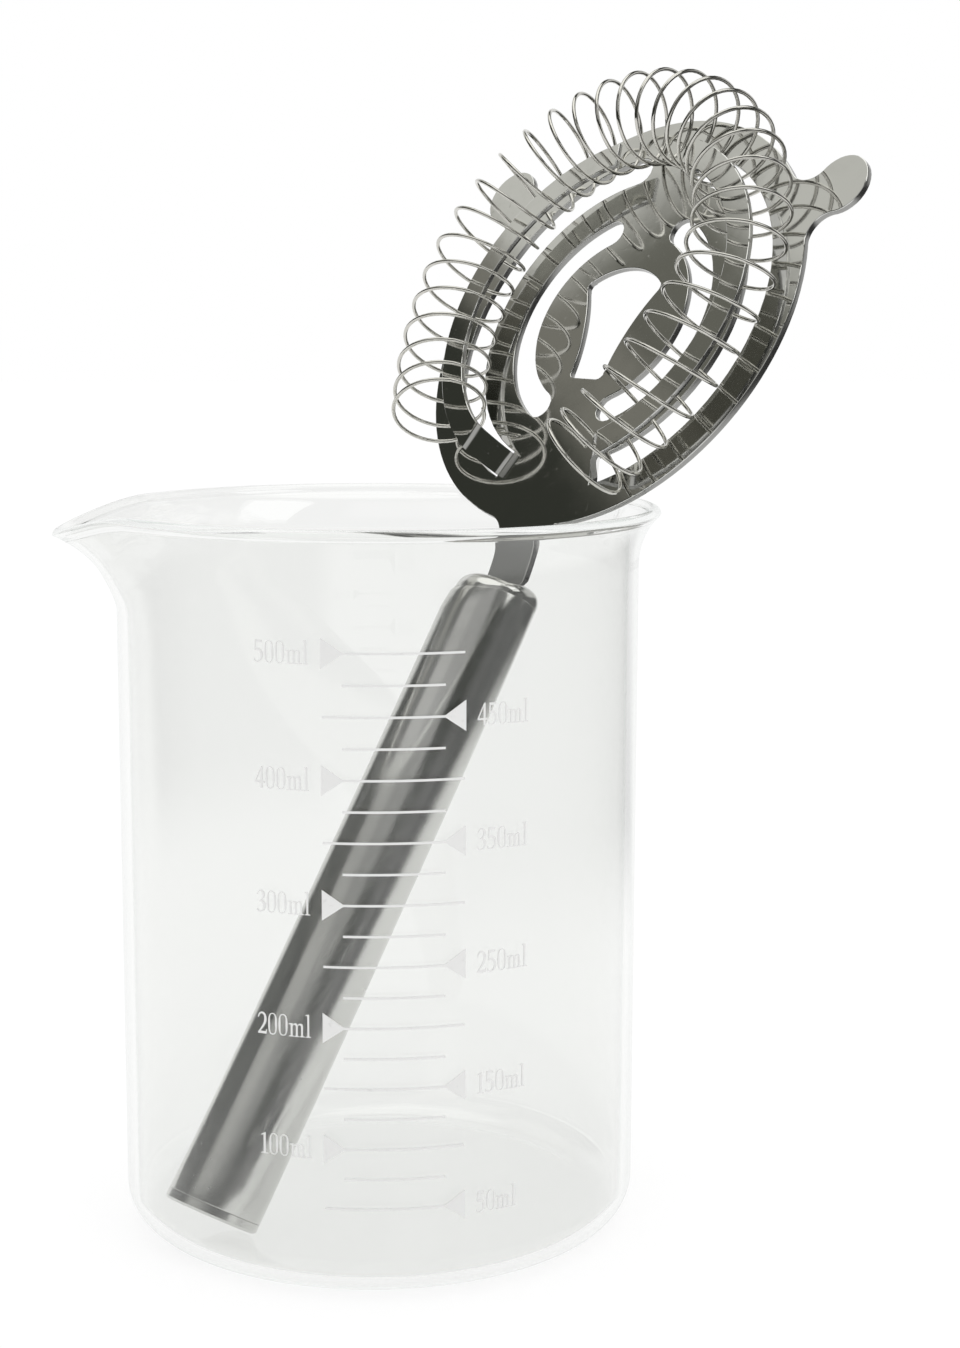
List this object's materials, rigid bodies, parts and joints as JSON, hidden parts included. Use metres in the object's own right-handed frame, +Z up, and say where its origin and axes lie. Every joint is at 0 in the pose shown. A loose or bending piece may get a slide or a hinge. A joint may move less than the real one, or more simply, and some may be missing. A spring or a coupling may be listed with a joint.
{
  "type": "cocktail pitcher",
  "caption": "Graduated glass mixing pitcher with a pouring lip, holding a polished steel bar strainer whose coil spring rings a slotted plate.",
  "frame": {"origin": "centre of the underside of the glass", "axes": "+Z up along the glass's axis, the printed scale faces -Y, the pouring lip points along -X"},
  "size_m": [0.1347, 0.1242, 0.1924],
  "materials": {
    "glass": "clear polished",
    "enamel": "fired white enamel print",
    "plate_steel": "mirror-polished stainless steel",
    "spring_wire": "bright drawn stainless wire",
    "handle_steel": "polished stainless steel with fine lengthwise lines"
  },
  "bodies": {
    "pitcher": {"glass_beaker": "glass", "scale_marks": "enamel"},
    "strainer": {"strainer_plate": "plate_steel", "coil_spring": "spring_wire", "handle_tube": "handle_steel", "handle_top_plug": "handle_steel", "handle_end_cap": "handle_steel"}
  },
  "joints": [
    {"name": "strainer_lift", "type": "slide", "parent": "pitcher", "child": "strainer", "axis": [0, 0, 1], "range_m": [0, 0.125]}
  ]
}
